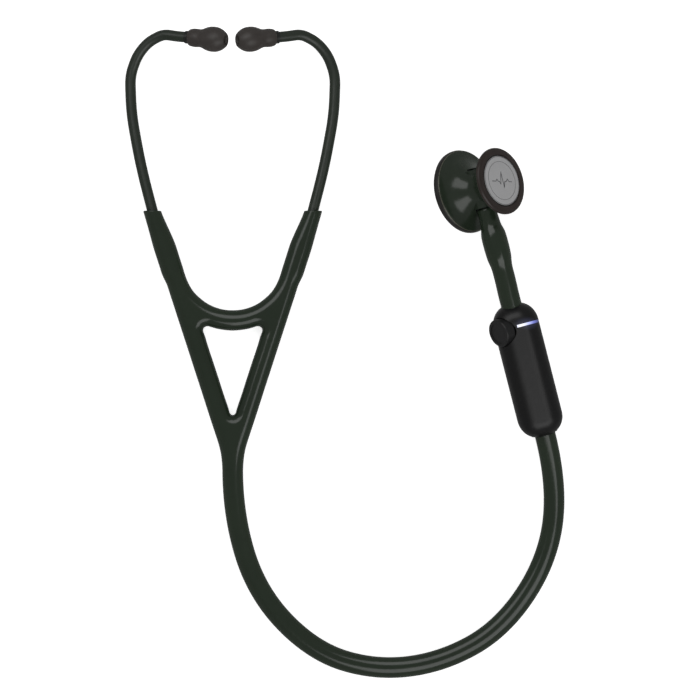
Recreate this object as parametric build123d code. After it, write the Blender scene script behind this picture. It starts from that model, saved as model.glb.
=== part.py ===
from build123d import *
import math
import os

# Stethoscope with a two-tube headset, an inline sound module and a two-sided chestpiece.
# It lies flat: +Z up, +Y from the tubing loop towards the ear tips, +X from the headset
# towards the chestpiece. Millimetres. The origin is under the middle of everything but
# the hose between the yoke and the module.

os.makedirs("parts", exist_ok=True)

# ---------------------------------------------------------------- driving dimensions
ORIGIN_X, ORIGIN_Y, ORIGIN_Z = -3.29, 50.68, 0.0   # taken off every coordinate below

HEAD_X = -59.09            # the headset's middle line
EARTUBE_R = 2.7            # eartube outer radius
EARTUBE_BORE_R = 1.6
EARTUBE_PATH = [           # left tube, measured from the headset's middle line
    (-34.34, 47.19, 4.95), (-37.58, 59.30, 4.95), (-46.12, 91.87, 4.95),
    (-51.04, 118.88, 4.95), (-51.66, 138.22, 5.30), (-47.93, 148.32, 6.60),
    (-42.30, 154.90, 8.40), (-34.60, 158.60, 11.00), (-27.80, 157.30, 13.40),
    (-18.00, 156.27, 17.00),
]
EARTIP_START = (-21.55, 156.643, 15.696)
EARTIP_DIR = (0.9338, -0.0981, 0.3440)
EARTIP_LENGTH = 20.3
EARTIP_R = 6.3             # bulb
EARTIP_LOBE_R = 4.65        # small lobe at the tube's end
EARTIP_MOUTH_R = 2.5

YOKE_T = 9.6               # yoke thickness
ARM_HINGE = (-27.0, 30.0)  # where the left arm flexes
KNUCKLE_R = 5.3
KNUCKLE_GAP = 0.35
SPRING_T, SPRING_H = 0.9, 4.0

TUBE_W, TUBE_H = 10.5, 9.2         # hose section
HOSE_ROUTE = [
    (-59.09, -60.40, 4.70), (-59.05, -82.76, 4.70), (-46.85, -122.60, 4.70),
    (-18.75, -151.60, 4.70), (12.75, -161.35, 4.70), (45.60, -157.55, 4.70),
    (76.70, -140.50, 4.70), (99.85, -105.70, 4.70), (104.50, -67.10, 5.06),
    (97.92, -41.90, 9.00),
]

MODULE_W, MODULE_L, MODULE_T = 22.8, 69.0, 20.0
MODULE_PLAN_R = 10.0       # corner radius seen from above
MODULE_EDGE_R = 8.6        # rounding of its long edges
MODULE_WALL = 1.8
MODULE_TILT = 9.0          # the chestpiece end is lifted by this angle
MODULE_C = (89.17, -10.03, 14.20)
MODULE_TURN = 14.7         # about Z
SPLIT_Z = -2.0             # joint line of the two shells
BUTTON_Y = 22.9            # along the module
BUTTON_TILT = 53.4         # from the top, towards the left side
BUTTON_R = 7.05
BUTTON_FACE = 12.8         # distance of its face from the module's axis
BUTTON_TRAVEL = 0.7
LIGHT_W = 1.3              # status light, square to the ground like the chestpiece's stem
LIGHT_Y = 24.45            # where it crosses the module's top

CHEST_C = (65.14, 81.36, 23.57)    # where the stem axis meets the disc axis
SHORT_R = 5.25             # hose between module and chestpiece
STEM_TURN = 15.0           # stem direction in plan, from -Y towards +X
DISC_TILT = 46.3           # disc axis from the vertical
ADULT_R, ADULT_FACE = 21.1, 13.2
PED_R, PED_FACE = 16.9, 14.6
LABEL_R = 12.7
STEM_R, STEM_BORE_R = 3.0, 3.05
DIAPHRAGM_TRAVEL = 0.5


# ---------------------------------------------------------------- helpers
def put(shape, name):
    """Moves a shape into the part's frame and writes it."""
    moved = shape.moved(Location((-ORIGIN_X, -ORIGIN_Y, -ORIGIN_Z)))
    moved.label = name
    export_step(moved, "parts/%s.step" % name)
    return moved


def prism(points, z0, z1):
    face = make_face(Polyline(*[(x, y, z0) for x, y in points], close=True))
    return extrude(face, amount=z1 - z0, dir=(0, 0, 1))


def turned(points):
    """A solid of revolution about Z from (radius, height) points."""
    face = make_face(Polyline(*[(r, 0, h) for r, h in points], close=True))
    return revolve(face, Axis.Z, 360)


def rod(p, q, r):
    a, b = Vector(*p), Vector(*q)
    plane = Plane(origin=a, z_dir=b - a)
    return extrude(plane * Circle(r), amount=(b - a).length)


def corner_radii(points, share=0.45):
    """The largest smooth arc at each corner of a route."""
    out = []
    for a, b, c in zip(points[:-2], points[1:-1], points[2:]):
        u, v = Vector(*b) - Vector(*a), Vector(*c) - Vector(*b)
        half = math.radians(u.get_angle(v)) / 2
        out.append(share * min(u.length, v.length) / math.tan(half))
    return out


def route(points, share=0.45):
    return FilletPolyline(*points, radius=corner_radii(points, share))


def mirrored(shape):
    return mirror(shape, about=Plane(origin=(HEAD_X, 0, 0), z_dir=(1, 0, 0)))


def headset(points):
    return [(HEAD_X + p[0],) + tuple(p[1:]) for p in points]


# ---------------------------------------------------------------- ear tubes and ear tips
ear_path = route(headset(EARTUBE_PATH))
ear_start = Plane(origin=ear_path @ 0, z_dir=ear_path % 0)
left_tube = sweep(ear_start * Circle(EARTUBE_R), path=ear_path) \
    - sweep(ear_start * Circle(EARTUBE_BORE_R), path=ear_path)

tip_plane = Plane(origin=(HEAD_X + EARTIP_START[0], EARTIP_START[1], EARTIP_START[2]),
                  z_dir=EARTIP_DIR)
L = EARTIP_LENGTH
tip_points = [
    (2.75, 0.0), (3.6, 0.3), (4.15, 1.4), (4.6, 3.4), (EARTIP_LOBE_R, 4.9), (4.6, 6.3), (4.85, 7.5),
    (5.5, 8.9), (6.1, 10.4), (6.36, 12.4), (EARTIP_R, 14.4), (5.85, 16.0), (5.1, 17.5), (4.1, 18.9),
    (3.4, 19.8), (2.95, L), (EARTIP_MOUTH_R, 20.15), (1.6, 18.2), (1.6, 5.4), (2.75, 5.4),
]
left_tip = tip_plane.location * turned(tip_points)
collar_plane = Plane(origin=Vector(*tip_plane.origin) - tip_plane.z_dir * 1.7, z_dir=tip_plane.z_dir)
left_collar = collar_plane.location * (Cylinder(3.2, 1.6, align=(Align.CENTER, Align.CENTER, Align.MIN))
                                       - Cylinder(EARTUBE_R + 0.02, 4))

put(left_tube, "left_eartube")
put(mirrored(left_tube), "right_eartube")
put(left_tip, "left_eartip")
put(mirrored(left_tip), "right_eartip")
put(left_collar, "left_eartip_collar")
put(mirrored(left_collar), "right_eartip_collar")

# ---------------------------------------------------------------- yoke
hx, hy = HEAD_X + ARM_HINGE[0], ARM_HINGE[1]
arm_outline = headset([
    (-44.6, 69.5), (-43.5, 65.5), (-42.2, 60.4), (-39.4, 50.4), (-36.1, 40.3), (-34.0, 35.3),
    (-32.2, 30.8), (-27.0, 30.0), (-21.9, 31.8), (-22.9, 35.3), (-24.5, 40.3),
    (-26.2, 45.3), (-27.8, 50.4), (-29.5, 55.4), (-31.8, 60.4), (-34.15, 65.5), (-35.7, 69.5),
])
arm = prism(arm_outline, 0.0, YOKE_T) + Pos(hx, hy, YOKE_T / 2) * Cylinder(KNUCKLE_R, YOKE_T)
spring_line = headset([(-31.8, 44.0), (-29.4, 36.5), (-25.6, 27.0), (-18.6, 18.8), (-8.0, 15.2),
                       (8.0, 15.2), (18.6, 18.8), (25.6, 27.0), (29.4, 36.5), (31.8, 44.0)])
spring_path = FilletPolyline(*[(x, y, YOKE_T / 2) for x, y in spring_line], radius=6.0)


def strip(width, height):
    plane = Plane(origin=spring_path @ 0, z_dir=spring_path % 0, x_dir=(0, 0, 1))
    return sweep(plane * Rectangle(height, width), path=spring_path)


spring = strip(SPRING_T, SPRING_H)
spring_slot = strip(SPRING_T + 1.0, SPRING_H + 0.8)
ear_hole = sweep(ear_start * Circle(EARTUBE_R + 0.01), path=ear_path)
lumen = rod((HEAD_X - 34.34, 47.3, 4.95), (HEAD_X - 33.0, 42.0, 4.95), 1.6)
left_arm = arm - ear_hole - spring_slot - lumen - rod(
    (HEAD_X - 31.8, 44.0, YOKE_T / 2), (HEAD_X - 33.6, 46.4, YOKE_T / 2), 1.9)
put(left_arm, "left_yoke_sleeve")
put(mirrored(left_arm), "right_yoke_sleeve")

half = [  # left half of the fixed part, down its outer side and up its inner side
    (-5.25, -60.4), (-5.5, -55.4), (-6.15, -50.4), (-7.6, -45.3), (-12.5, -30.2), (-17.3, -15.1),
    (-22.2, 0.0), (-27.2, 15.1), (-30.2, 24.6), (-32.0, 30.2), (-27.0, 33.0),
    (-20.0, 30.2), (-15.0, 25.2), (-10.0, 21.8), (-5.0, 20.1), (0.0, 19.6),
]
outline = half + [(-x, y) for x, y in reversed(half[:-1])]
triangle = [(-14.6, 11.4), (-13.9, 7.3), (-1.8, -30.2), (0.0, -32.2), (1.8, -30.2), (13.9, 7.3),
            (14.6, 11.4), (10.5, 10.8), (5.0, 9.9), (0.0, 9.6), (-5.0, 9.9), (-10.5, 10.8)]
yoke = prism(headset(outline), 0.0, YOKE_T) - prism(headset(triangle), -1, YOKE_T + 1)
# the stem thins down to the hose's thickness
yoke -= prism(headset([(-9, -53.0), (9, -53.0), (9, -61.0), (-9, -61.0)]), TUBE_H + 0.15, YOKE_T + 1)


def pocket(side):
    """Room for one arm's knuckle and its swing: a disc and the sector above it."""
    cx = HEAD_X + side * -ARM_HINGE[0]
    reach = 16.0
    pts = [(0.0, 0.0)]
    for deg in (-80, -50, -20, 10, 40, 70, 100, 125, 141):
        a = math.radians(deg)
        pts.append((side * math.sin(a) * reach * -1, math.cos(a) * reach))
    sector = prism([(cx + x, hy + y) for x, y in pts], -1, YOKE_T + 1)
    return sector + Pos(cx, hy, YOKE_T / 2) * Cylinder(KNUCKLE_R + KNUCKLE_GAP, YOKE_T + 2)


yoke = yoke - pocket(-1) - pocket(1) - spring_slot
put(yoke, "yoke")
put(spring, "yoke_leaf_spring")

# ---------------------------------------------------------------- module frame
ca, sa = math.cos(math.radians(MODULE_TURN)), math.sin(math.radians(MODULE_TURN))
ct, st = math.cos(math.radians(MODULE_TILT)), math.sin(math.radians(MODULE_TILT))
MX = Vector(ca, sa, 0)
MY = Vector(-sa * ct, ca * ct, st)
MZ = MX.cross(MY)
MODULE = Plane(origin=MODULE_C, x_dir=MX, z_dir=MZ).location
HALF_L = MODULE_L / 2


def module_point(x, y, z):
    return Vector(*MODULE_C) + MX * x + MY * y + MZ * z


def soap(width, length, height, plan_r, edge_r):
    body = extrude(RectangleRounded(width, length, plan_r), amount=height / 2, both=True)
    rims = body.faces().sort_by(Axis.Z)
    return fillet(rims[0].edges() + rims[-1].edges(), edge_r)


outer = soap(MODULE_W, MODULE_L, MODULE_T, MODULE_PLAN_R, MODULE_EDGE_R)
inner = soap(MODULE_W - 2 * MODULE_WALL, MODULE_L - 2 * MODULE_WALL, MODULE_T - 2 * MODULE_WALL,
             MODULE_PLAN_R - MODULE_WALL, MODULE_EDGE_R - MODULE_WALL)
shell = outer - inner
upper_half = Pos(0, 0, SPLIT_Z + 0.15) * Box(60, 100, 40, align=(Align.CENTER, Align.CENTER, Align.MIN))
lower_half = Pos(0, 0, SPLIT_Z - 0.15) * Box(60, 100, 40, align=(Align.CENTER, Align.CENTER, Align.MAX))

tilt = math.radians(BUTTON_TILT)
button_dir = Vector(-math.sin(tilt), 0, math.cos(tilt))
BUTTON = Plane(origin=(0, BUTTON_Y, 0), x_dir=(0, 1, 0), z_dir=button_dir)


def disc(r, low, high, plane=BUTTON):
    return plane.offset(low).location * Cylinder(r, high - low, align=(Align.CENTER, Align.CENTER, Align.MIN))


cup = (disc(8.3, 5.4, 14.0) & outer)
pocket_hole = disc(BUTTON_R + 0.35, 6.6, 20.0) + disc(1.9, 2.0, 7.0)

# openings for the two hoses, through the joint line
hose_slot = Pos(0, -HALF_L, 0) * Rot(90, 0, 0) * extrude(
    SlotOverall(TUBE_W + 0.3, TUBE_H + 0.3), amount=6, both=True)
top_hole = rod((0, HALF_L - 6, 0), (0, HALF_L + 6, 0), SHORT_R + 0.05)
LOW_Y, TOP_Y = -32.85, 32.85                      # where the hoses stop, inside the shells
low_flange = Pos(0, LOW_Y + 1.0, 0) * Box(13.0, 2.0, 10.0)
top_flange = rod((0, TOP_Y - 2.0, 0), (0, TOP_Y, 0), 6.2)

screw_xy = [(6.3, 28.0), (-6.3, 9.5), (6.3, -26.5), (-6.3, -26.5)]
bosses = None
for x, y in screw_xy:
    boss = Pos(x, y, SPLIT_Z + 0.15) * Cylinder(2.1, 9, align=(Align.CENTER, Align.CENTER, Align.MIN)) & outer
    bosses = boss if bosses is None else bosses + boss
front = (shell & upper_half) + (cup & upper_half) + (bosses & upper_half)
for x, y in screw_xy:
    front -= Pos(x, y, SPLIT_Z - 1) * Cylinder(0.82, 6.5, align=(Align.CENTER, Align.CENTER, Align.MIN))
light_slab = Pos(15 - 0.2, LIGHT_Y, 10.0) * Rot(-MODULE_TILT, 0, 0) * Box(30, LIGHT_W, 60) & upper_half
light_guide = (shell & upper_half) & light_slab
front = front - light_slab - pocket_hole - hose_slot - top_hole
front = front - (Pos(0, LOW_Y + 1.0, 0) * Box(13.3, 2.3, 10.3)) - rod((0, TOP_Y - 2.15, 0), (0, TOP_Y + 0.15, 0), 6.35)

rear = shell & lower_half
rear_boss = None
for x, y in screw_xy:
    b = Pos(x, y, SPLIT_Z - 0.15) * Cylinder(2.3, 9, align=(Align.CENTER, Align.CENTER, Align.MAX)) & outer
    rear_boss = b if rear_boss is None else rear_boss + b
rear = rear + (rear_boss & lower_half)
for x, y in screw_xy:
    rear -= Pos(x, y, SPLIT_Z + 1) * Cylinder(0.95, 20, align=(Align.CENTER, Align.CENTER, Align.MAX))
    rear -= Pos(x, y, -6.55) * Cylinder(1.75, 20, align=(Align.CENTER, Align.CENTER, Align.MAX))
port_y = -16.0
rear -= Pos(0, port_y, -11) * Box(9.4, 3.6, 5.0, align=(Align.CENTER, Align.CENTER, Align.MIN))
rear = rear - hose_slot - top_hole
rear = rear - (Pos(0, LOW_Y + 1.0, 0) * Box(13.3, 2.3, 10.3)) - rod((0, TOP_Y - 2.15, 0), (0, TOP_Y + 0.15, 0), 6.35)

ring_out = RectangleRounded(MODULE_W - 0.5, MODULE_L - 0.5, MODULE_PLAN_R - 0.25)
ring_in = RectangleRounded(MODULE_W - 2 * MODULE_WALL, MODULE_L - 2 * MODULE_WALL, MODULE_PLAN_R - MODULE_WALL)
gasket = Pos(0, 0, SPLIT_Z - 0.15) * extrude(ring_out - ring_in, amount=0.3)
gasket = gasket - (Pos(0, LOW_Y, 0) * Box(14.0, 5.0, 10.3)) - (Pos(0, TOP_Y, 0) * Box(13.0, 5.0, 10.3))

screws = None
for x, y in screw_xy:
    s = Pos(x, y, -6.6) * Cylinder(1.6, 1.2, align=(Align.CENTER, Align.CENTER, Align.MAX)) \
        + Pos(x, y, -6.6) * Cylinder(0.8, 8.2, align=(Align.CENTER, Align.CENTER, Align.MIN))
    s -= Pos(x, y, -7.8) * Box(0.5, 2.0, 1.0)
    s -= Pos(x, y, -7.8) * Box(2.0, 0.5, 1.0)
    screws = [s] if screws is None else screws + [s]

port = Pos(0, port_y, -9.9) * Box(9.2, 3.4, 3.9, align=(Align.CENTER, Align.CENTER, Align.MIN)) \
    - Pos(0, port_y, -10.2) * Box(8.2, 2.4, 3.4, align=(Align.CENTER, Align.CENTER, Align.MIN))
port += Pos(0, port_y, -9.2) * Box(6.6, 0.7, 3.0, align=(Align.CENTER, Align.CENTER, Align.MIN))

board = Pos(0, 6.0, -1.7) * Box(12.6, 38.0, 1.0)
for x, y in screw_xy:
    board -= Pos(x, y, 0) * Cylinder(2.6, 20)
chips = Pos(1.0, 16.0, -1.2) * Box(5, 5, 0.9, align=(Align.CENTER, Align.CENTER, Align.MIN)) \
    + Pos(0.5, 7.0, -1.2) * Box(4, 3, 0.8, align=(Align.CENTER, Align.CENTER, Align.MIN))
board += chips
battery = Pos(0, -11.4, 2.1) * fillet(Box(12.0, 25.0, 6.0).edges().filter_by(Axis.Y), 2.6)
speaker = rod((0, -29.4, 0), (0, -25.9, 0), 3.6) - rod((0, -29.5, 0), (0, -28.9, 0), 2.6)
mic = rod((0, 26.6, 0), (0, 29.6, 0), 3.0) - rod((0, 29.2, 0), (0, 29.7, 0), 1.2)
switch = disc(2.3, 2.1, 4.0)

button = disc(BUTTON_R, 7.7, BUTTON_FACE)
top_edge = button.faces().sort_by(Axis(origin=(0, BUTTON_Y, 0), direction=tuple(button_dir)))[-1]
button = fillet(top_edge.edges(), 0.7)
button = button - disc(5.1, BUTTON_FACE - 0.3, BUTTON_FACE + 1) + disc(1.4, 5.0, 8.0)
pad = disc(5.6, 6.65, 7.65) - disc(3.4, 6.0, 8.0)

barb_low = low_flange - rod((0, LOW_Y - 1, 0), (0, LOW_Y + 3, 0), 1.4)
spigots = None
for x in (-2.15, 2.15):
    s = rod((x, LOW_Y - 4.0, 0), (x, LOW_Y + 0.5, 0), 1.35) - rod((x, LOW_Y - 5, 0), (x, LOW_Y + 3, 0), 0.85)
    spigots = s if spigots is None else spigots + s
barb_low = low_flange + spigots
for x in (-2.15, 2.15):
    barb_low -= rod((x, LOW_Y - 5, 0), (x, LOW_Y + 3, 0), 0.85)
low_core = None
for x in (-2.15, 2.15):
    c = rod((x, LOW_Y - 4.1, 0), (x, LOW_Y + 0.1, 0), 1.36)
    low_core = c if low_core is None else low_core + c
barb_top = top_flange + rod((0, TOP_Y - 0.5, 0), (0, TOP_Y + 5.0, 0), 2.2)
barb_top -= rod((0, TOP_Y - 3, 0), (0, TOP_Y + 6, 0), 1.5)
top_core = rod((0, TOP_Y - 0.1, 0), (0, TOP_Y + 5.1, 0), 2.21)


def in_module(shape, name):
    return put(shape.moved(MODULE), name)


in_module(front, "module_front_shell")
in_module(rear, "module_rear_shell")
in_module(gasket, "module_gasket")
put(Compound(children=[s.moved(MODULE) for s in screws]), "module_screws")
in_module(light_guide, "status_light_guide")
in_module(port, "charging_port")
in_module(board, "circuit_board")
in_module(battery, "battery_cell")
in_module(speaker, "speaker_capsule")
in_module(mic, "microphone_capsule")
in_module(switch, "button_switch")
in_module(button, "mode_button")
in_module(pad, "button_return_pad")
in_module(barb_low, "headset_hose_barb")
in_module(barb_top, "chestpiece_hose_barb")

# ---------------------------------------------------------------- hose from yoke to module
hose_path = route(HOSE_ROUTE)
print("hose arc radii:", [round(r, 1) for r in corner_radii(HOSE_ROUTE)])
start = Plane(origin=hose_path @ 0, x_dir=(1, 0, 0), z_dir=hose_path % 0)
hose = sweep(start * SlotOverall(TUBE_W, TUBE_H), path=hose_path)
section = (SlotOverall(TUBE_W, TUBE_H)).area
print("hose volume %.0f, section x length %.0f, length %.1f" % (hose.volume, section * hose_path.length,
                                                                 hose_path.length))
hose -= low_core.moved(MODULE)
put(hose, "main_tube")

# ---------------------------------------------------------------- chestpiece frame
turn, lean = math.radians(STEM_TURN), math.radians(DISC_TILT)
SY = Vector(-math.sin(turn), math.cos(turn), 0)          # away from the hose
FLAT = Vector(math.cos(turn), math.sin(turn), 0)
SZ = FLAT * math.sin(lean) + Vector(0, 0, 1) * math.cos(lean)
SX = SY.cross(SZ)
CHEST = Plane(origin=CHEST_C, x_dir=SX, z_dir=SZ).location


def chest_point(x, y, z):
    return Vector(*CHEST_C) + SX * x + SY * y + SZ * z


def in_chest(shape, name):
    return put(shape.moved(CHEST), name)


# ---------------------------------------------------------------- stem
BARREL_0, BARREL_1 = -19.6, -41.9                        # along the stem, from the disc axis
stem = rod((0, 5.4, 0), (0, -11.5, 0), STEM_R) + rod((0, -10.9, 0), (0, -12.3, 0), 4.5) \
    + rod((0, -12.0, 0), (0, -36.5, 0), 2.7)
for y in (-26.0, -30.0, -34.0):
    stem += Pos(0, y, 0) * Rot(-90, 0, 0) * Cone(2.7, 3.3, 2.6)
ring_groove = None
for y in (-4.8, -8.2):
    g = (rod((0, y - 0.6, 0), (0, y + 0.6, 0), 3.4) - rod((0, y - 0.7, 0), (0, y + 0.7, 0), 1.95))
    stem -= g
stem -= rod((0, 4.35, 0), (0, 4.95, 0), 3.4) - rod((0, 4.3, 0), (0, 5.0, 0), 2.4)
stem_solid = stem
stem = stem - rod((0, 0.0, 0), (0, -37, 0), 1.3) - rod((0, 0, 0), (0, 0, -4), 1.2)
seals = [Pos(0, y, 0) * Rot(90, 0, 0) * Torus(2.48, 0.5) for y in (-4.8, -8.2)]
clip = rod((0, 4.38, 0), (0, 4.92, 0), 4.3) - rod((0, 4.3, 0), (0, 5.0, 0), 2.43)
clip -= Pos(-4, 4.65, 0) * Box(5, 2, 1.6)
in_chest(stem, "chestpiece_stem")
put(Compound(children=[s.moved(CHEST) for s in seals]), "stem_seal_rings")
in_chest(clip, "stem_retaining_clip")

# ---------------------------------------------------------------- short hose
p0 = module_point(0, TOP_Y, 0)
p1 = module_point(0, TOP_Y + 5.0, 0)
q1 = chest_point(0, BARREL_1 - 4.5, 0)
q2 = chest_point(0, BARREL_1, 0)
short_path = route([tuple(p0), tuple(p1), tuple(q1), tuple(q2)])
short = sweep(Plane(origin=short_path @ 0, z_dir=short_path % 0) * Circle(SHORT_R), path=short_path)
barrel = turned([(0, 12.9), (4.75, 12.9), (4.95, 13.2), (4.95, 19.4), (5.25, 20.6), (5.95, 23.2),
                 (6.25, 24.8), (6.36, 28.5), (6.45, 31.6), (6.48, 34.6), (6.08, 37.8), (5.52, 40.9),
                 (SHORT_R, 41.9), (SHORT_R, 42.0), (0, 42.0)])
barrel = CHEST * (Rot(90, 0, 0) * barrel)
short = short + barrel - stem_solid.moved(CHEST) - (CHEST * rod((0, -36, 0), (0, -40, 0), 2.0)) \
    - top_core.moved(MODULE)
put(short, "chestpiece_tube")

# ---------------------------------------------------------------- chestpiece body
with BuildSketch(Plane.XZ) as body_half:
    with BuildLine():
        Polyline((0, -11.3), (19.3, -11.3), (19.3, -9.25), (20.3, -9.25), (20.4, -8.95), (20.1, -8.75))
        Spline((20.1, -8.75), (18.0, -8.15), (16.0, -7.2), (14.2, -5.95), (12.7, -4.6), (11.5, -3.3),
               (10.4, -1.7), (9.5, 0.0), (9.0, 1.6), (8.9, 3.2), (9.1, 4.8), (9.7, 6.4), (10.9, 8.3),
               (12.6, 10.2), (14.4, 11.6), (15.9, 12.35))
        Polyline((15.9, 12.35), (16.45, 12.5), (16.45, 12.78), (15.0, 12.82), (15.0, 13.38), (0, 13.38), (0, -11.3))
    make_face()
body = revolve(body_half.sketch, Axis.Z, 360)
body += rod((0, -10.5, 0), (0, 9.0, 0), 6.2)
adult_cup = turned([(0, -8.0), (2.0, -8.0), (17.2, -10.9), (17.2, -12.0), (0, -12.0)])
ped_cup = turned([(0, 8.9), (2.0, 8.9), (12.6, 12.4), (12.6, 13.9), (0, 13.9)])
body = body - adult_cup - ped_cup
body = body - rod((0, -11, 0), (0, 4.3, 0), STEM_BORE_R) - rod((0, 4.1, 0), (0, 10, 0), 4.7)
body = body - rod((0, 0, 0), (0, 0, -8.5), 1.5) - rod((0, 0, 0), (0, 0, 9.4), 1.5)
body = body - rod((2.0, 1.9, 0), (7.1, 1.9, 0), 1.06) - rod((0, -10.5, 0), (0, -24, 0), 5.35)
ball = Pos(4.1, 1.9, 0) * Sphere(1.0)
ball_spring = rod((5.15, 1.9, 0), (7.05, 1.9, 0), 0.9) - rod((5.0, 1.9, 0), (7.2, 1.9, 0), 0.55)
plug = rod((0, 6.2, 0), (0, 8.6, 0), 4.68)
adult_rim = turned([(18.75, -13.0), (19.6, -13.05), (20.4, -12.75), (20.95, -12.1), (21.1, -11.4),
                    (21.1, -10.3), (20.9, -9.7), (20.45, -9.35), (20.2, -9.28), (19.32, -9.28),
                    (19.32, -11.32), (18.75, -11.32)])
ped_rim = turned([(13.1, 14.65), (13.5, 14.9), (15.2, 14.82), (16.2, 14.55), (16.75, 14.1), (16.9, 13.6),
                  (16.85, 13.2), (16.6, 12.9), (15.02, 12.86), (15.02, 13.4), (13.1, 13.4)])
adult_dia = turned([(0, -13.2), (17.9, -13.2), (18.4, -13.0), (18.4, -12.7), (0, -12.7)])
ped_dia = turned([(0, 14.15), (12.75, 14.15), (12.75, 14.6), (0, 14.6)])
label = turned([(0, 14.6), (12.5, 14.6), (12.5, 14.68), (12.42, 14.72), (0, 14.72)])
in_chest(body, "chestpiece_body")
in_chest(ball, "detent_ball")
in_chest(ball_spring, "detent_spring")
in_chest(plug, "stem_end_plug")
in_chest(adult_rim, "adult_rim")
in_chest(ped_rim, "pediatric_rim")
in_chest(adult_dia, "adult_diaphragm")
in_chest(ped_dia, "pediatric_diaphragm")
in_chest(label, "pediatric_label")

print("stem axis", [round(v, 4) for v in SY], "disc axis", [round(v, 4) for v in SZ])
print("module axis", [round(v, 4) for v in MY], "button axis",
      [round(v, 4) for v in (MX * button_dir.X + MZ * button_dir.Z)])
print("short hose end points", [[round(c, 2) for c in p] for p in (p0, p1, q1, q2)])
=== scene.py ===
import math

import bmesh
import bpy
import numpy as np
from mathutils import Matrix, Vector


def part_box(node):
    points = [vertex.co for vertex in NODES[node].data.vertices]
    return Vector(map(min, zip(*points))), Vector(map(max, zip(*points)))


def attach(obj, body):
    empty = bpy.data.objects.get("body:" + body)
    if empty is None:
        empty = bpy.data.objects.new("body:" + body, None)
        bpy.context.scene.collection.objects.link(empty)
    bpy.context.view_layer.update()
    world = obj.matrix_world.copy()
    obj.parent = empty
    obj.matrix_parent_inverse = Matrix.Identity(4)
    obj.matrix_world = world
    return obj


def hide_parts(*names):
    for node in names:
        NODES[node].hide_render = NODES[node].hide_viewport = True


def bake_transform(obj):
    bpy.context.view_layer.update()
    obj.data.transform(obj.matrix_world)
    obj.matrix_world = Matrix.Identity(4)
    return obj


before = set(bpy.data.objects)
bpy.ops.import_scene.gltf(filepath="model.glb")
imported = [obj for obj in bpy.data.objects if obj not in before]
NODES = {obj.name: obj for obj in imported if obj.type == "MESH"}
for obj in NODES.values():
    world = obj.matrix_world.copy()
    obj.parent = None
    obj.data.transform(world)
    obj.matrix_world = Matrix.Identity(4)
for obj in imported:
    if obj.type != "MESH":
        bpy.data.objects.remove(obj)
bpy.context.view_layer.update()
scene = bpy.context.scene
MM = 0.001

# The working coordinates of the lists below are the same as the CAD source's before its
# origin is taken off; row() turns them into the row frame in metres.
SHIFT = np.array([3.29, -50.68, 0.0])
HEAD_X = -59.09


def row(points):
    return (np.asarray(points, float).reshape(-1, 3) + SHIFT) * MM


# ---------------------------------------------------------------- camera
camera_data = bpy.data.cameras.new("camera")
camera_data.sensor_width = 36.0
camera_data.lens = 203.68
camera_data.clip_start, camera_data.clip_end = 0.05, 20.0
camera = bpy.data.objects.new("camera", camera_data)
camera.location = (3.29 * MM, -50.68 * MM, 2.0)
scene.collection.objects.link(camera)
scene.camera = camera
scene.view_settings.view_transform = "Standard"
scene.view_settings.look = "None"

# ---------------------------------------------------------------- light, floor
TARGET = Vector((3.29 * MM, -50.68 * MM, 0.0))


def softbox(name, azimuth, zenith, distance, radial, tangential, radiance):
    """A rectangular soft light, its short side towards the zenith."""
    a, z = math.radians(azimuth), math.radians(zenith)
    out = Vector((math.sin(z) * math.cos(a), math.sin(z) * math.sin(a), math.cos(z)))
    side = Vector((-math.sin(a), math.cos(a), 0.0))
    up = out.cross(side)
    data = bpy.data.lights.new(name, "AREA")
    data.shape = "RECTANGLE"
    data.size, data.size_y = tangential, radial
    data.energy = radiance * math.pi * radial * tangential
    lamp = bpy.data.objects.new(name, data)
    lamp.matrix_world = Matrix.Translation(TARGET + out * distance) @ Matrix(
        (side, up, out)).transposed().to_4x4()
    scene.collection.objects.link(lamp)
    return lamp


softbox("softbox_front", -62, 37, 1.2, 0.71, 1.17, 1.74)
softbox("softbox_back", 115, 35, 1.2, 0.71, 1.17, 1.74)

world = bpy.data.worlds.new("studio")
scene.world = world
world.use_nodes = True
background = world.node_tree.nodes["Background"]
background.inputs["Color"].default_value = (1.0, 1.0, 1.0, 1.0)
background.inputs["Strength"].default_value = 0.24


# ---------------------------------------------------------------- materials
def srgb(*c):
    """sRGB 0-255 to linear."""
    out = []
    for v in c:
        v /= 255.0
        out.append(v / 12.92 if v <= 0.04045 else ((v + 0.055) / 1.055) ** 2.4)
    return (*out, 1.0)


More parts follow.
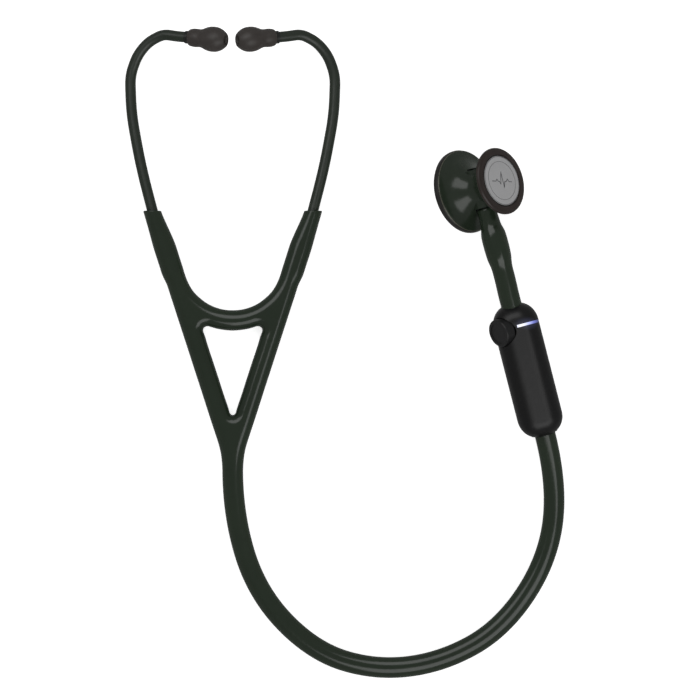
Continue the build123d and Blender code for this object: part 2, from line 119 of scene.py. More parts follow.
def material(name, low, high, rough, colour_scale=300.0, rough_scale=900.0, bump=0.0,
             bump_scale=4000.0, detail=3.0, **sockets):
    """Principled surface: colour drifts from low to high, roughness between two values, fine bump."""
    m = bpy.data.materials.new(name)
    m.use_nodes = True
    nt = m.node_tree
    shader = nt.nodes["Principled BSDF"]
    where = nt.nodes.new("ShaderNodeTexCoord")

    def noise(scale, octaves):
        n = nt.nodes.new("ShaderNodeTexNoise")
        n.inputs["Scale"].default_value = scale
        n.inputs["Detail"].default_value = octaves
        nt.links.new(where.outputs["Object"], n.inputs["Vector"])
        return n

    ramp = nt.nodes.new("ShaderNodeValToRGB")
    ramp.color_ramp.elements[0].position, ramp.color_ramp.elements[0].color = 0.32, low
    ramp.color_ramp.elements[1].position, ramp.color_ramp.elements[1].color = 0.68, high
    nt.links.new(noise(colour_scale, detail).outputs["Fac"], ramp.inputs["Fac"])
    nt.links.new(ramp.outputs["Color"], shader.inputs["Base Color"])
    spread = nt.nodes.new("ShaderNodeMapRange")
    spread.inputs["From Min"].default_value, spread.inputs["From Max"].default_value = 0.3, 0.7
    spread.inputs["To Min"].default_value, spread.inputs["To Max"].default_value = rough
    nt.links.new(noise(rough_scale, 4.0).outputs["Fac"], spread.inputs["Value"])
    nt.links.new(spread.outputs["Result"], shader.inputs["Roughness"])
    if bump:
        b = nt.nodes.new("ShaderNodeBump")
        b.inputs["Strength"].default_value = 1.0
        b.inputs["Distance"].default_value = bump
        nt.links.new(noise(bump_scale, 2.0).outputs["Fac"], b.inputs["Height"])
        nt.links.new(b.outputs["Normal"], shader.inputs["Normal"])
    for key, value in sockets.items():
        shader.inputs[key.replace("_", " ")].default_value = value
    return m


M = {
    "tubing": material("tubing", (0.0158, 0.0255, 0.0145, 1), (0.0182, 0.0290, 0.0165, 1), (0.14, 0.20),
                       colour_scale=60, rough_scale=700, bump=0.000006, bump_scale=2500, IOR=1.5),
    "eartube": material("eartube", (0.0105, 0.0175, 0.0095, 1), (0.0130, 0.0210, 0.0120, 1), (0.34, 0.42),
                        colour_scale=200, rough_scale=1500, bump=0.000004, bump_scale=7000, IOR=1.6),
    "eartip": material("eartip", (0.037, 0.031, 0.0275, 1), (0.045, 0.038, 0.034, 1), (0.40, 0.52),
                       colour_scale=250, rough_scale=1200, bump=0.000010, bump_scale=3000, IOR=1.5),
    "collar": material("collar", (0.006, 0.007, 0.006, 1), (0.009, 0.010, 0.009, 1), (0.35, 0.45)),
    "case": material("module_case", (0.0046, 0.0046, 0.0048, 1), (0.0060, 0.0060, 0.0063, 1), (0.32, 0.39),
                     colour_scale=400, rough_scale=2500, bump=0.000012, bump_scale=5500, IOR=1.42),
    "button": material("button", (0.0070, 0.0070, 0.0074, 1), (0.0090, 0.0090, 0.0094, 1), (0.38, 0.46),
                       colour_scale=400, rough_scale=2500, bump=0.000008, bump_scale=6000, IOR=1.5),
    "seal": material("seal", (0.004, 0.004, 0.004, 1), (0.006, 0.006, 0.006, 1), (0.5, 0.6)),
    "chest": material("chest_metal", (0.0195, 0.0285, 0.0180, 1), (0.0225, 0.0320, 0.0210, 1), (0.16, 0.22),
                      colour_scale=250, rough_scale=1800, bump=0.000003, bump_scale=9000, IOR=1.48),
    "rim_black": material("rim_black", (0.012, 0.011, 0.010, 1), (0.016, 0.015, 0.013, 1), (0.28, 0.36),
                          colour_scale=300, bump=0.000006, bump_scale=4000),
    "rim_brown": material("rim_brown", (0.0200, 0.0135, 0.0110, 1), (0.0260, 0.0175, 0.0145, 1), (0.30, 0.40),
                          colour_scale=300, bump=0.000006, bump_scale=4000),
    "diaphragm": material("diaphragm", (0.020, 0.019, 0.018, 1), (0.026, 0.025, 0.023, 1), (0.30, 0.38),
                          bump=0.000006, bump_scale=9000),
    "label": material("label", (0.45, 0.45, 0.455, 1), (0.57, 0.57, 0.575, 1), (0.38, 0.48),
                      colour_scale=9000, rough_scale=9000, bump=0.000012, bump_scale=9000, Metallic=0.35),
    "label_ink": material("label_ink", (0.045, 0.045, 0.05, 1), (0.06, 0.06, 0.065, 1), (0.4, 0.5)),
    "steel": material("steel", (0.50, 0.50, 0.51, 1), (0.58, 0.58, 0.59, 1), (0.22, 0.32),
                      rough_scale=3000, Metallic=1.0),
    "spring": material("spring_steel", (0.42, 0.42, 0.43, 1), (0.50, 0.50, 0.51, 1), (0.25, 0.35), Metallic=1.0),
    "board": material("board", (0.010, 0.080, 0.030, 1), (0.014, 0.100, 0.040, 1), (0.4, 0.5)),
    "battery": material("battery", (0.40, 0.41, 0.42, 1), (0.46, 0.47, 0.48, 1), (0.3, 0.4), Metallic=0.6),
    # the lip's light colour is partly bare metal and partly a painted highlight of the rim's edge
    "lip": material("lip_painted_highlight", (0.10, 0.10, 0.075, 1), (0.13, 0.13, 0.10, 1), (0.25, 0.35), Metallic=0.4),
    "barb": material("barb", (0.02, 0.02, 0.02, 1), (0.03, 0.03, 0.03, 1), (0.3, 0.4)),
}


def light_guide_material():
    """Lit strip: white at its inner end, blue towards the module's side."""
    m = material("light_guide", (0.06, 0.06, 0.08, 1), (0.08, 0.08, 0.10, 1), (0.2, 0.3))
    nt = m.node_tree
    shader = nt.nodes["Principled BSDF"]
    where = nt.nodes.new("ShaderNodeTexCoord")
    split = nt.nodes.new("ShaderNodeSeparateXYZ")
    nt.links.new(where.outputs["Object"], split.inputs["Vector"])
    span = nt.nodes.new("ShaderNodeMapRange")
    lo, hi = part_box("status_light_guide")
    span.inputs["From Min"].default_value, span.inputs["From Max"].default_value = lo.x, hi.x
    nt.links.new(split.outputs["X"], span.inputs["Value"])
    tint = nt.nodes.new("ShaderNodeValToRGB")
    e = tint.color_ramp.elements
    e[0].position, e[0].color = 0.0, (0.80, 0.82, 1.0, 1)
    e[1].position, e[1].color = 0.95, (0.012, 0.016, 0.09, 1)
    mid = e.new(0.22)
    mid.color = (1.0, 1.0, 1.0, 1)
    far = e.new(0.48)
    far.color = (0.55, 0.60, 1.0, 1)
    farther = e.new(0.74)
    farther.color = (0.13, 0.16, 0.55, 1)
    nt.links.new(span.outputs["Result"], tint.inputs["Fac"])
    nt.links.new(tint.outputs["Color"], shader.inputs["Emission Color"])
    shader.inputs["Emission Strength"].default_value = 1.1
    return m


M["light_guide"] = light_guide_material()


def lit_case_material():
    """The module's case with the light's faint spill on the shell beside the strip."""
    m = material("module_case_lit", (0.0046, 0.0046, 0.0048, 1), (0.0060, 0.0060, 0.0063, 1), (0.32, 0.39),
                 colour_scale=400, rough_scale=2500, bump=0.000012, bump_scale=5500, IOR=1.42)
    nt = m.node_tree
    shader = nt.nodes["Principled BSDF"]
    where = nt.nodes.new("ShaderNodeTexCoord")
    lo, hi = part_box("status_light_guide")
    away = nt.nodes.new("ShaderNodeVectorMath")
    away.operation = "SUBTRACT"
    away.inputs[1].default_value = (lo.x * 0.55 + hi.x * 0.45, (lo.y + hi.y) / 2, hi.z - 0.001)
    nt.links.new(where.outputs["Object"], away.inputs[0])
    shape = nt.nodes.new("ShaderNodeVectorMath")
    shape.operation = "MULTIPLY"
    shape.inputs[1].default_value = (130.0, 260.0, 130.0)
    nt.links.new(away.outputs["Vector"], shape.inputs[0])
    size = nt.nodes.new("ShaderNodeVectorMath")
    size.operation = "LENGTH"
    nt.links.new(shape.outputs["Vector"], size.inputs[0])
    fall = nt.nodes.new("ShaderNodeMapRange")
    fall.interpolation_type = "SMOOTHSTEP"
    fall.inputs["From Min"].default_value, fall.inputs["From Max"].default_value = 0.15, 1.0
    fall.inputs["To Min"].default_value, fall.inputs["To Max"].default_value = 0.045, 0.0
    nt.links.new(size.outputs["Value"], fall.inputs["Value"])
    shader.inputs["Emission Color"].default_value = (0.45, 0.50, 1.0, 1)
    nt.links.new(fall.outputs["Result"], shader.inputs["Emission Strength"])
    return m


M["case_lit"] = lit_case_material()

PAINT = {
    "left_eartip": "eartip", "right_eartip": "eartip", "left_eartip_collar": "collar",
    "right_eartip_collar": "collar", "left_eartube": "eartube", "right_eartube": "eartube",
    "left_yoke_sleeve": "tubing", "right_yoke_sleeve": "tubing", "yoke": "tubing",
    "yoke_leaf_spring": "spring", "main_tube": "tubing", "chestpiece_tube": "tubing",
    "module_front_shell": "case_lit", "module_rear_shell": "case", "module_gasket": "seal",
    "module_screws": "steel", "status_light_guide": "light_guide", "charging_port": "steel",
    "circuit_board": "board", "battery_cell": "battery", "speaker_capsule": "steel",
    "microphone_capsule": "steel", "button_switch": "steel", "mode_button": "button",
    "button_return_pad": "seal", "headset_hose_barb": "barb", "chestpiece_hose_barb": "barb",
    "chestpiece_body": "chest", "chestpiece_stem": "chest", "stem_seal_rings": "seal",
    "stem_retaining_clip": "steel", "stem_end_plug": "chest", "detent_ball": "steel",
    "detent_spring": "spring", "adult_rim": "rim_black", "pediatric_rim": "rim_brown",
    "adult_diaphragm": "diaphragm", "pediatric_diaphragm": "diaphragm", "pediatric_label": "label",
}
for node, obj in NODES.items():
    obj.data.materials.clear()
    obj.data.materials.append(M[PAINT[node]])


# ---------------------------------------------------------------- mesh helpers
def piece(name, points, faces, mat, normals=None):
    """A shown piece from points in metres in the row frame."""
    mesh = bpy.data.meshes.new(name)
    mesh.from_pydata([tuple(p) for p in points], [], [tuple(int(i) for i in f) for f in faces])
    mesh.update()
    mesh.polygons.foreach_set("use_smooth", [True] * len(mesh.polygons))
    if normals is not None:
        mesh.normals_split_custom_set_from_vertices([tuple(n) for n in normals])
    obj = bpy.data.objects.new(name, mesh)
    obj.data.materials.append(mat)
    scene.collection.objects.link(obj)
    return obj


def sharpen(obj, angle=35.0):
    """Edges that turn more than this stay crisp."""
    bm = bmesh.new()
    bm.from_mesh(obj.data)
    bmesh.ops.recalc_face_normals(bm, faces=bm.faces)
    for e in bm.edges:
        e.smooth = not (len(e.link_faces) == 2 and e.calc_face_angle(0.0) > math.radians(angle))
    bm.to_mesh(obj.data)
    bm.free()
    return obj


def spline(points, per=8, closed=False):
    """A smooth curve through the points: a cubic spline on chord length."""
    p = np.asarray(points, float)
    n = len(p)
    q = np.vstack([p, p[:1]]) if closed else p
    h = np.linalg.norm(np.diff(q, axis=0), axis=1)
    if closed:
        a = np.zeros((n, n))
        b = np.zeros((n, p.shape[1]))
        for i in range(n):
            hp, hn = h[i - 1], h[i]
            a[i, i - 1] += hp
            a[i, i] += 2 * (hp + hn)
            a[i, (i + 1) % n] += hn
            b[i] = 6 * ((p[(i + 1) % n] - p[i]) / hn - (p[i] - p[i - 1]) / hp)
        m = np.linalg.solve(a, b)
        m = np.vstack([m, m[:1]])
    else:
        a = np.zeros((n, n))
        b = np.zeros((n, p.shape[1]))
        a[0, 0] = a[-1, -1] = 1.0
        for i in range(1, n - 1):
            a[i, i - 1], a[i, i], a[i, i + 1] = h[i - 1], 2 * (h[i - 1] + h[i]), h[i]
            b[i] = 6 * ((p[i + 1] - p[i]) / h[i] - (p[i] - p[i - 1]) / h[i - 1])
        m = np.linalg.solve(a, b)
    out = []
    for i in range(len(h)):
        k = per if np.isscalar(per) else max(1, int(round(h[i] / per[0])))
        for t in np.arange(k) / k:
            s, r = t * h[i], (1 - t) * h[i]
            out.append(m[i] * r ** 3 / (6 * h[i]) + m[i + 1] * s ** 3 / (6 * h[i])
                       + (q[i] / h[i] - m[i] * h[i] / 6) * r + (q[i + 1] / h[i] - m[i + 1] * h[i] / 6) * s)
    if not closed:
        out.append(q[-1])
    return np.array(out)


def unit(v):
    v = np.asarray(v, float)
    return v / np.linalg.norm(v)


def lathe(name, profile, origin, axis, mat, segments=72, per=3):
    """A turned piece: (radius, height) points from its first closed end to its last."""
    pr = spline(profile, per)
    axis = unit(axis)
    side = unit(np.cross(axis, (0, 0, 1) if abs(axis[2]) < 0.9 else (1, 0, 0)))
    other = np.cross(axis, side)
    pts, faces = [], []
    for r, h in pr:
        for k in range(segments):
            a = 2 * math.pi * k / segments
            pts.append(origin + axis * h + (side * math.cos(a) + other * math.sin(a)) * max(r, 0.001))
    for i in range(len(pr) - 1):
        for k in range(segments):
            j = (k + 1) % segments
            faces.append((i * segments + k, i * segments + j, (i + 1) * segments + j, (i + 1) * segments + k))
    faces.append(tuple(range(segments))[::-1])
    faces.append(tuple(range((len(pr) - 1) * segments, len(pr) * segments)))
    return sharpen(piece(name, row(pts), faces, mat), 40)


def sweep(name, path, half_width, half_height, mat, segments=40, up=(0, 0, 1), start_cap=True):
    """An elliptic tube along a path in metres, closed at both ends. Half sizes may differ along it."""
    path = np.asarray(path, float)
    n = len(path)
    hw = np.broadcast_to(np.asarray(half_width, float), (n,))
    hh = np.broadcast_to(np.asarray(half_height, float), (n,))
    tangent = np.gradient(path, axis=0)
    # the ends of an even gradient are one-sided
    pts, faces = [], []
    for i in range(n):
        t = unit(tangent[i])
        s = unit(np.cross(t, up))
        u = np.cross(s, t)
        for k in range(segments):
            a = 2 * math.pi * k / segments
            pts.append(path[i] + (s * math.cos(a) * hw[i] + u * math.sin(a) * hh[i]) * MM)
    for i in range(n - 1):
        for k in range(segments):
            j = (k + 1) % segments
            faces.append((i * segments + k, i * segments + j, (i + 1) * segments + j, (i + 1) * segments + k))
    faces.append(tuple(range(segments))[::-1])
    faces.append(tuple(range((n - 1) * segments, n * segments)))
    return sharpen(piece(name, pts, faces, mat), 50)


# ---------------------------------------------------------------- main hose
HOSE_W, HOSE_H = 5.25, 4.6          # half sizes of its section, mm
HOSE_ROUTE = [
    (-59.09, -60.40, 4.70), (-59.05, -82.76, 4.70), (-46.85, -122.60, 4.70),
    (-18.75, -151.60, 4.70), (12.75, -161.35, 4.70), (45.60, -157.55, 4.70),
    (76.70, -140.50, 4.70), (99.85, -105.70, 4.70), (104.50, -67.10, 5.06),
    (97.92, -41.90, 9.00),
]


def route_line(points, resolution=24):
    """Points read from the route's own NURBS spline."""
    curve = bpy.data.curves.new("route", "CURVE")
    curve.dimensions = "3D"
    curve.resolution_u = resolution
    s = curve.splines.new("NURBS")
    s.points.add(len(points) - 1)
    for p, q in zip(s.points, row(points)):
        p.co = (*q, 1.0)
    s.order_u = 3
    s.use_endpoint_u = True
    holder = bpy.data.objects.new("route", curve)
    scene.collection.objects.link(holder)
    bpy.context.view_layer.update()
    deps = bpy.context.evaluated_depsgraph_get()
    mesh = bpy.data.meshes.new_from_object(holder.evaluated_get(deps))
    line = np.array([v.co for v in mesh.vertices], float)
    bpy.data.objects.remove(holder)
    bpy.data.meshes.remove(mesh)
    return line


hose_line = route_line(HOSE_ROUTE)
hose = sweep("main_hose", hose_line, HOSE_W, HOSE_H, M["tubing"], segments=44)
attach(hose, "root")
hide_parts("main_tube")


# ---------------------------------------------------------------- yoke skin
YOKE_SIDE = [   # left half: up the outer side, round the sleeve's end, down the inner side
    (0.0, -75.0), (-4.1, -73.0), (-5.25, -69.0), (-5.25, -64.5), (-5.26, -60.4), (-5.53, -55.8),
    (-6.27, -50.75), (-7.66, -45.7), (-9.33, -40.65), (-12.63, -30.55), (-15.87, -20.45),
    (-19.15, -10.35), (-22.42, -0.25), (-25.70, 9.85), (-28.98, 19.95), (-30.62, 25.0),
    (-31.93, 29.04), (-33.29, 33.08), (-35.25, 37.12), (-36.64, 41.16), (-37.94, 45.2),
    (-39.26, 49.24), (-40.46, 53.28), (-41.55, 57.32), (-42.66, 61.36), (-43.80, 65.4),
    (-45.12, 69.9), (-46.4, 74.0), (-47.6, 78.0), (-46.6, 82.0), (-43.5, 83.6), (-40.4, 82.0),
    (-39.0, 78.0), (-37.4, 74.0), (-35.98, 69.9), (-34.17, 65.4), (-32.32, 61.36),
    (-30.48, 57.32), (-28.83, 53.28), (-27.5, 49.24), (-26.23, 45.2), (-24.95, 41.16),
    (-23.70, 37.12), (-21.97, 33.08), (-19.35, 29.04), (-16.4, 26.15), (-12.4, 23.25),
    (-8.33, 21.42), (-4.3, 20.38), (0.0, 20.06),
]
WINDOW_SIDE = [  # left half of the triangular window, from its lower tip
    (0.0, -32.75), (-1.05, -32.25), (-1.79, -30.55), (-3.41, -25.5), (-6.71, -15.4),
    (-10.0, -5.3), (-13.27, 4.8), (-14.35, 8.1), (-14.90, 9.9), (-14.55, 11.05), (-13.65, 11.75),
    (-12.45, 11.95), (-11.0, 11.55), (-8.3, 10.77), (-4.3, 10.07), (0.0, 9.76),
]
EDGE_R = 5.1
SLEEVE_TOP, STEM_END = 70.1, -60.4


def both_sides(half):
    return half + [(-x, y) for x, y in reversed(half[1:-1])]


def step(x, a, b):
    t = np.clip((x - a) / (b - a), 0.0, 1.0)
    return t * t * (3 - 2 * t)


class Plan:
    """Signed distance, negative inside, to closed smooth outlines in a plane."""

    def __init__(self, loops):
        pts, nxt, prv, out = [], [], [], []
        base = 0
        for k, loop in enumerate(loops):
            c = spline(loop, per=[0.13], closed=True)
            area = 0.5 * np.sum(c[:, 0] * np.roll(c[:, 1], -1) - np.roll(c[:, 0], -1) * c[:, 1])
            if (area > 0) != (k == 0):
                c = c[::-1]
            t = np.roll(c, -1, 0) - np.roll(c, 1, 0)
            t /= np.linalg.norm(t, axis=1)[:, None]
            out.append(np.stack([t[:, 1], -t[:, 0]], 1))
            n = len(c)
            idx = np.arange(n)
            pts.append(c)
            nxt.append(base + (idx + 1) % n)
            prv.append(base + (idx - 1) % n)
            base += n
        self.p, self.n = np.vstack(pts), np.vstack(out)
        self.next, self.prev = np.concatenate(nxt), np.concatenate(prv)

    def nearest(self, q):
        near = np.zeros(len(q), int)
        for i in range(0, len(q), 2000):
            d = ((q[i:i + 2000, None, :] - self.p[None]) ** 2).sum(2)
            near[i:i + 2000] = d.argmin(1)
        return near

    def distance(self, q, near):
        """Signed distance and its gradient."""
        best = np.full(len(q), 1e9)
        foot, normal = np.zeros_like(q), np.zeros_like(q)
        start = self.prev[self.prev[near]]
        for _ in range(5):
            end = self.next[start]
            a, b = self.p[start], self.p[end]
            ab = b - a
            t = np.clip(((q - a) * ab).sum(1) / (ab ** 2).sum(1), 0, 1)
            f = a + ab * t[:, None]
            d = ((q - f) ** 2).sum(1)
            m = d < best
            best[m], foot[m] = d[m], f[m]
            normal[m] = (self.n[start] * (1 - t[:, None]) + self.n[end] * t[:, None])[m]
            start = end
        sign = np.where(((q - foot) * normal).sum(1) < 0, -1.0, 1.0)
        d = np.sqrt(best)
        g = np.where(d[:, None] > 1e-3, (q - foot) / np.maximum(d, 1e-9)[:, None] * sign[:, None], normal)
        return sign * d, g


def half_thickness(v):
    return 4.8 - 0.2 * (1 - step(v, -58.5, -38.0))


def middle_height(v):
    return 4.8 - 0.1 * (1 - step(v, -58.5, -38.0))


def edge_radius(v):
    return EDGE_R - 0.74 * step(v, 56.0, 70.0)


def skin_field(d2, v, z):
    r = edge_radius(v)
    t = np.maximum(d2 + r, 0.0)
    w = (z - middle_height(v)) * r / half_thickness(v)
    return np.sqrt(t * t + w * w + 1e-12) - r


def skin_value(plan, q, near):
    d2, g2 = plan.distance(q[:, :2], near)
    u, v, z = q.T
    r, half = edge_radius(v), half_thickness(v)
    t = np.maximum(d2 + r, 0.0)
    w = (z - middle_height(v)) * r / half
    length = np.sqrt(t * t + w * w + 1e-12)
    e = 0.01
    along = (skin_field(d2, v + e, z) - skin_field(d2, v - e, z)) / (2 * e)
    grad = np.stack([t / length * g2[:, 0], t / length * g2[:, 1] + along, w / length * r / half], 1)
    return length - r, grad


def surface_nets(field, low, h):
    """Quads round the zero level of a grid, and their corners."""
    n = np.array(field.shape)
    inside = field < 0
    corners = [(i, j, k) for i in (0, 1) for j in (0, 1) for k in (0, 1)]
    count = np.zeros(n - 1, int)
    for i, j, k in corners:
        count += inside[i:n[0] - 1 + i, j:n[1] - 1 + j, k:n[2] - 1 + k]
    active = (count > 0) & (count < 8)
    index = -np.ones(n - 1, int)
    index[active] = np.arange(active.sum())
    cells = np.argwhere(active)
    value = {c: field[cells[:, 0] + c[0], cells[:, 1] + c[1], cells[:, 2] + c[2]] for c in corners}
    total, hits = np.zeros((len(cells), 3)), np.zeros(len(cells))
    for c in corners:
        for axis in range(3):
            if c[axis]:
                continue
            d = list(c)
            d[axis] = 1
            fa, fb = value[c], value[tuple(d)]
            m = (fa < 0) != (fb < 0)
            t = fa[m] / (fa[m] - fb[m])
            p = np.tile(np.array(c, float), (m.sum(), 1))
            p[:, axis] += t
            total[m] += p
            hits[m] += 1
    verts = np.asarray(low) + h * (cells + total / hits[:, None])
    quads = []
    for axis in range(3):
        b, c = (axis + 1) % 3, (axis + 2) % 3
        lo = [slice(None)] * 3
        hi = [slice(None)] * 3
        lo[axis], hi[axis] = slice(0, -1), slice(1, None)
        change = inside[tuple(lo)] != inside[tuple(hi)]
        at = np.argwhere(change)
        ok = (at[:, b] > 0) & (at[:, c] > 0) & (at[:, b] < n[b] - 1) & (at[:, c] < n[c] - 1)
        at = at[ok]
        outward = inside[tuple(lo)][tuple(at.T)]

        def cell(db, dc):
            k = at.copy()
            k[:, b] -= db
            k[:, c] -= dc
            return index[tuple(k.T)]

        q = np.stack([cell(1, 1), cell(0, 1), cell(0, 0), cell(1, 0)], 1)
        q[~outward] = q[~outward][:, ::-1]
        quads.append(q)
    return verts, np.vstack(quads)


def make_skin(h=0.72):
    """The left half of the yoke's skin: points, faces and normals in working coordinates (u, v, z)."""
    plan = Plan([both_sides(YOKE_SIDE), both_sides(WINDOW_SIDE)])
    low = np.array([-49.0, -62.5, -0.9])
    count = np.ceil((np.array([2.0, 71.5, 10.6]) - low) / h).astype(int) + 1
    us, vs, zs = (low[i] + h * np.arange(count[i]) for i in range(3))
    uu, vv = np.meshgrid(us, vs, indexing="ij")
    flat = np.stack([uu.ravel(), vv.ravel()], 1)
    d2, _ = plan.distance(flat, plan.nearest(flat))
    d2 = d2.reshape(uu.shape)
    field = skin_field(d2[:, :, None], vv[:, :, None], zs[None, None, :])
    verts, quads = surface_nets(field, low, h)
    near = plan.nearest(verts[:, :2])
    for _ in range(4):
        f, g = skin_value(plan, verts, near)
        verts = verts - g * (f / np.maximum((g ** 2).sum(1), 1e-6))[:, None]
    # cut at the middle line and at both ends
    mesh = bpy.data.meshes.new("skin")
    mesh.from_pydata([tuple(p) for p in verts], [], [tuple(int(i) for i in q) for q in quads])
    bm = bmesh.new()
    bm.from_mesh(mesh)
    bpy.data.meshes.remove(mesh)
    for co, no in (((0, 0, 0), (1, 0, 0)), ((0, SLEEVE_TOP - 0.5, 0), (0, 1, 0)), ((0, STEM_END, 0), (0, -1, 0))):
        bmesh.ops.bisect_plane(bm, geom=bm.verts[:] + bm.edges[:] + bm.faces[:], dist=1e-4,
                               plane_co=co, plane_no=no, clear_outer=True)
    bmesh.ops.remove_doubles(bm, verts=bm.verts, dist=0.02)
    bm.verts.ensure_lookup_table()
    pts = np.array([v.co for v in bm.verts], float)
    faces = [[v.index for v in f.verts] for f in bm.faces]
    # the sleeve's end: two rings that round its rim, then a flat end
    ring_edges = [e for e in bm.edges if len(e.link_faces) == 1
                  and all(abs(v.co.y - (SLEEVE_TOP - 0.5)) < 0.01 for v in e.verts)]
    stem_edges = [e for e in bm.edges if len(e.link_faces) == 1
                  and all(abs(v.co.y - STEM_END) < 0.01 for v in e.verts)]

    def chain(edges):
        follow = {}
        for e in edges:
            face = e.link_faces[0]
            loop = next(lp for lp in face.loops if lp.edge == e)
            follow[loop.link_loop_next.vert.index] = loop.vert.index
        start = next(iter(follow))
        if len(set(follow) - set(follow.values())):
            start = next(iter(set(follow) - set(follow.values())))
        out = [start]
        while out[-1] in follow and follow[out[-1]] != start:
            out.append(follow[out[-1]])
        return out

    ring, stem = chain(ring_edges), chain(stem_edges)
    bm.free()
    near = plan.nearest(pts[:, :2])
    _, normals = skin_value(plan, pts, near)
    normals /= np.linalg.norm(normals, axis=1)[:, None]
    flat_normal = {}
    middle = pts[ring].mean(0)
    last = ring
    for rise, inset, tilt in ((0.30, 0.05, 25), (0.44, 0.18, 55), (0.50, 0.42, 80)):
        base = len(pts)
        rel = pts[ring] - middle
        scale = 1 - inset / np.linalg.norm(rel[:, [0, 2]], axis=1)
        new = middle + rel * scale[:, None]
        new[:, 1] = SLEEVE_TOP - 0.5 + rise
        pts = np.vstack([pts, new])
        side = normals[ring].copy()
        side[:, 1] = 0
        side /= np.linalg.norm(side, axis=1)[:, None]
        a = math.radians(tilt)
        nn = side * math.cos(a) + np.array([0, 1, 0]) * math.sin(a)
        normals = np.vstack([normals, nn])
        fresh = list(range(base, base + len(ring)))
        m = len(ring)
        for k in range(m):
            j = (k + 1) % m
            faces.append([last[k], last[j], fresh[j], fresh[k]])
        last = fresh
    base = len(pts)
    pts = np.vstack([pts, pts[last]])
    normals = np.vstack([normals, np.tile([0.0, 1.0, 0.0], (len(last), 1))])
    faces.append(list(range(base, base + len(last))))
    # the stem's end is a flat cap, closed at the middle line
    base = len(pts)
    pts = np.vstack([pts, pts[stem]])
    normals = np.vstack([normals, np.tile([0.0, -1.0, 0.0], (len(stem), 1))])
    faces.append(list(range(base, base + len(stem))))
    return pts, faces, normals


skin_points, skin_faces, skin_normals = make_skin()


def headset_row(p, side):
    """(u, v, z) about the headset's middle line to the row frame, on the left (-1) or right (+1)."""
    p = np.asarray(p, float).reshape(-1, 3)
    return row(np.stack([HEAD_X - side * p[:, 0], p[:, 1], p[:, 2]], 1))


for side, label in ((-1, "left"), (1, "right")):
    pts = headset_row(skin_points, side)
    nrm = skin_normals * np.array([-side, 1, 1])
    faces = skin_faces if side < 0 else [f[::-1] for f in skin_faces]
    skin = piece(label + "_yoke_skin", pts, faces, M["tubing"], nrm)
    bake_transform(skin)
    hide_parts(label + "_yoke_sleeve", "yoke")

# ---------------------------------------------------------------- leaf spring inside the yoke
SPRING_LINE = [(-31.8, 44.0), (-29.4, 36.5), (-25.6, 27.0), (-18.6, 18.8), (-8.0, 15.2), (0.0, 14.9)]
line = spline(SPRING_LINE, per=10)
tang = np.gradient(line, axis=0)
tang /= np.linalg.norm(tang, axis=1)[:, None]
nrm2 = np.stack([-tang[:, 1], tang[:, 0]], 1)
for side, label in ((-1, "left"), (1, "right")):
    pts, faces = [], []
    for p, n in zip(line, nrm2):
        for a, z in ((-0.45, 2.8), (0.45, 2.8), (0.45, 6.8), (-0.45, 6.8)):
            pts.append((p[0] + n[0] * a, p[1] + n[1] * a, z))
    m = len(line)
    for i in range(m - 1):
        for k in range(4):
            faces.append((i * 4 + k, i * 4 + (k + 1) % 4, i * 4 + 4 + (k + 1) % 4, i * 4 + 4 + k))
    faces.append((3, 2, 1, 0))
    faces.append(tuple(4 * (m - 1) + k for k in range(4)))
    spring = sharpen(piece(label + "_spring_half", headset_row(pts, side), faces, M["spring"]))
    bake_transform(spring)
    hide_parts("yoke_leaf_spring")

# ---------------------------------------------------------------- ear tubes and ear tips
EARTUBE_PATH = [
    (-34.34, 47.19, 4.95), (-37.58, 59.30, 4.95), (-46.12, 91.87, 4.95),
    (-51.04, 118.88, 4.95), (-51.66, 138.22, 5.30), (-47.93, 148.32, 6.60),
    (-42.30, 154.90, 8.40), (-34.60, 158.60, 11.00), (-27.80, 157.30, 13.40),
    (-18.00, 156.27, 17.00),
]
EARTIP_START = (-21.55, 156.643, 15.696)
EARTIP_DIR = (0.9338, -0.0981, 0.3440)
EARTIP_PROFILE = [
    (0.0, 0.0), (3.2, 0.0), (3.85, 0.3), (4.35, 1.4), (4.6, 3.1), (4.58, 4.6), (4.50, 5.8), (4.62, 6.9),
    (5.1, 8.2), (5.75, 9.8), (6.22, 11.8), (6.3, 13.6), (6.1, 15.4), (5.5, 17.1), (4.6, 18.6),
    (3.6, 19.75), (2.95, 20.15), (2.45, 19.8), (2.05, 19.0), (1.75, 17.4), (1.6, 15.0), (1.5, 11.5), (0.0, 11.5),
]
for side, label in ((-1, "left"), (1, "right")):
    flip = np.array([-side, 1, 1])
    at = np.array([HEAD_X - side * EARTIP_START[0], EARTIP_START[1], EARTIP_START[2]])
    tip = lathe(label + "_soft_eartip", EARTIP_PROFILE, at, np.array(EARTIP_DIR) * flip, M["eartip"])
    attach(tip, label + "_headset")
    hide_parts(label + "_eartip")

# ---------------------------------------------------------------- hose between module and chestpiece
MX = np.array([0.967268, 0.253758, 0.0])
MY = np.array([-0.250634, 0.955359, 0.156434])
MZ = np.cross(MX, MY)
CHEST_C = np.array([65.14, 81.36, 23.57])
SY = np.array([-0.25882, 0.96593, 0.0])
SZ = np.array([0.69832, 0.18712, 0.69088])
SX = np.cross(SY, SZ)
p0 = np.array([89.17, -10.03, 14.20]) + MY * 32.85
p1 = p0 + MY * 5.0
q1 = CHEST_C - SY * 46.4
short_line, short_r = [], []
BARREL = [(-46.4, 5.25), (-43.5, 5.26), (-41.5, 5.33), (-39.2, 5.62), (-37.0, 6.02), (-34.8, 6.22),
          (-32.0, 6.32), (-28.5, 6.35), (-25.8, 6.28), (-24.0, 6.1), (-22.4, 5.75), (-21.0, 5.35),
          (-19.8, 5.12), (-18.5, 5.02), (-13.0, 4.98), (-11.4, 4.9), (-11.0, 4.6)]
for t in np.linspace(0, 1, 6)[:-1]:
    short_line.append(p0 + (p1 - p0) * t)
    short_r.append(5.25)
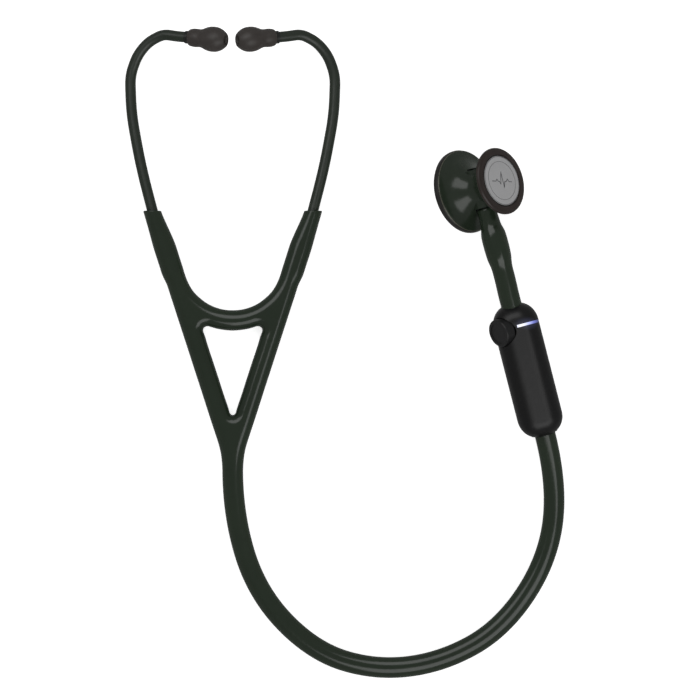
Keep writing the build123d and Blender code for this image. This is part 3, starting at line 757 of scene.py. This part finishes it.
k = np.linalg.norm(q1 - p1) / 3
for t in np.linspace(0, 1, 16)[:-1]:
    b = [(1 - t) ** 3, 3 * t * (1 - t) ** 2, 3 * t * t * (1 - t), t ** 3]
    short_line.append(p1 * b[0] + (p1 + MY * k) * b[1] + (q1 - SY * k) * b[2] + q1 * b[3])
    short_r.append(5.25)
for y, r in spline(BARREL, per=5):
    short_line.append(CHEST_C + SY * y)
    short_r.append(r)
# it leaves the module a little above the axis and climbs to the stem without a steep step
lifted = []
for p in short_line:
    t = max(0.0, -30.0 - float(np.dot(p - CHEST_C, SY)))
    lifted.append(np.array([p[0], p[1], CHEST_C[2] - (0.0985 * t * t / (t + 4.0) + 0.00063 * t * t)]))
short_hose = sweep("chestpiece_hose", row(lifted), short_r, short_r, M["tubing"], segments=56)
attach(short_hose, "root")
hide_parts("chestpiece_tube")

# a turned lip shows between the body's flange and the black rim; its light colour is partly the bare metal edge and
# partly a painted highlight standing in for the rim edge's reflection
lip = lathe("body_lip_painted_highlight", [(0.0, -9.55), (12.0, -9.55), (20.2, -9.5), (20.62, -9.42), (20.72, -9.24),
                                (20.62, -9.06), (20.2, -8.98), (12.0, -8.95), (0.0, -8.95)],
            CHEST_C, SZ, M["lip"], segments=120)
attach(lip, "chestpiece")

# ---------------------------------------------------------------- marks on the label
label_up = unit(np.array([0, 1.0, 0]) - SZ * SZ[1])
label_right = np.cross(label_up, SZ)


def ribbon(name, line2, width, low, high, mat, body, closed=False):
    """A raised line on the label from (x, y) points in its plane."""
    line2 = np.asarray(line2, float)
    n = len(line2)
    if closed:
        t = np.roll(line2, -1, 0) - np.roll(line2, 1, 0)
    else:
        t = np.gradient(line2, axis=0)
    t /= np.linalg.norm(t, axis=1)[:, None]
    s = np.stack([-t[:, 1], t[:, 0]], 1) * width / 2
    pts, faces = [], []
    for i in range(n):
        for xy, z in ((line2[i] + s[i], low), (line2[i] + s[i], high), (line2[i] - s[i], high), (line2[i] - s[i], low)):
            pts.append(CHEST_C + label_right * xy[0] + label_up * xy[1] + SZ * z)
    for i in range(n if closed else n - 1):
        j = (i + 1) % n
        for k in range(4):
            m = (k + 1) % 4
            faces.append((i * 4 + k, i * 4 + m, j * 4 + m, j * 4 + k))
    if not closed:
        faces.append((3, 2, 1, 0))
        faces.append(tuple(4 * (n - 1) + k for k in range(4)))
    obj = sharpen(piece(name, row(pts), faces, mat), 30)
    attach(obj, body)
    return obj


def circle(r, n=96, start=0.0, turn=360.0):
    a = np.radians(start + turn * np.arange(n) / (n if turn >= 360 else n - 1))
    return np.stack([r * np.cos(a), r * np.sin(a)], 1)


ribbon("label_ring", circle(9.7), 0.16, 14.66, 14.76, M["label_ink"], "pediatric_face", closed=True)
ribbon("label_edge_ring", circle(12.2), 0.22, 14.66, 14.77, M["label_ink"], "pediatric_face", closed=True)
pulse = [(-7.2, -0.4), (-4.4, -0.4), (-3.6, 0.7), (-2.8, -0.4), (-1.9, -0.4), (-1.1, -2.0), (0.0, 4.6),
         (1.2, -3.6), (2.0, -0.4), (3.1, -0.4), (4.1, 1.0), (5.1, -0.4), (7.2, -0.4)]
dense = np.vstack([np.linspace(a, b, 5)[:-1] for a, b in zip(np.array(pulse[:-1]), np.array(pulse[1:]))] + [pulse[-1:]])
ribbon("label_pulse_line", dense, 0.34, 14.66, 14.77, M["label_ink"], "pediatric_face")

# ---------------------------------------------------------------- floor
bpy.ops.mesh.primitive_plane_add(size=6.0, location=(0, 0, -0.0003))
floor = bpy.context.object
floor.name = "floor"
floor_material = material("floor", (0.86, 0.86, 0.86, 1), (0.88, 0.88, 0.88, 1), (0.8, 0.9), colour_scale=20)
floor_shader = floor_material.node_tree.nodes["Principled BSDF"]
floor_shader.inputs["Specular IOR Level"].default_value = 0.0
floor_shader.inputs["Emission Color"].default_value = (1, 1, 1, 1)
floor_shader.inputs["Emission Strength"].default_value = 0.75
floor.data.materials.append(floor_material)
floor.visible_glossy = False
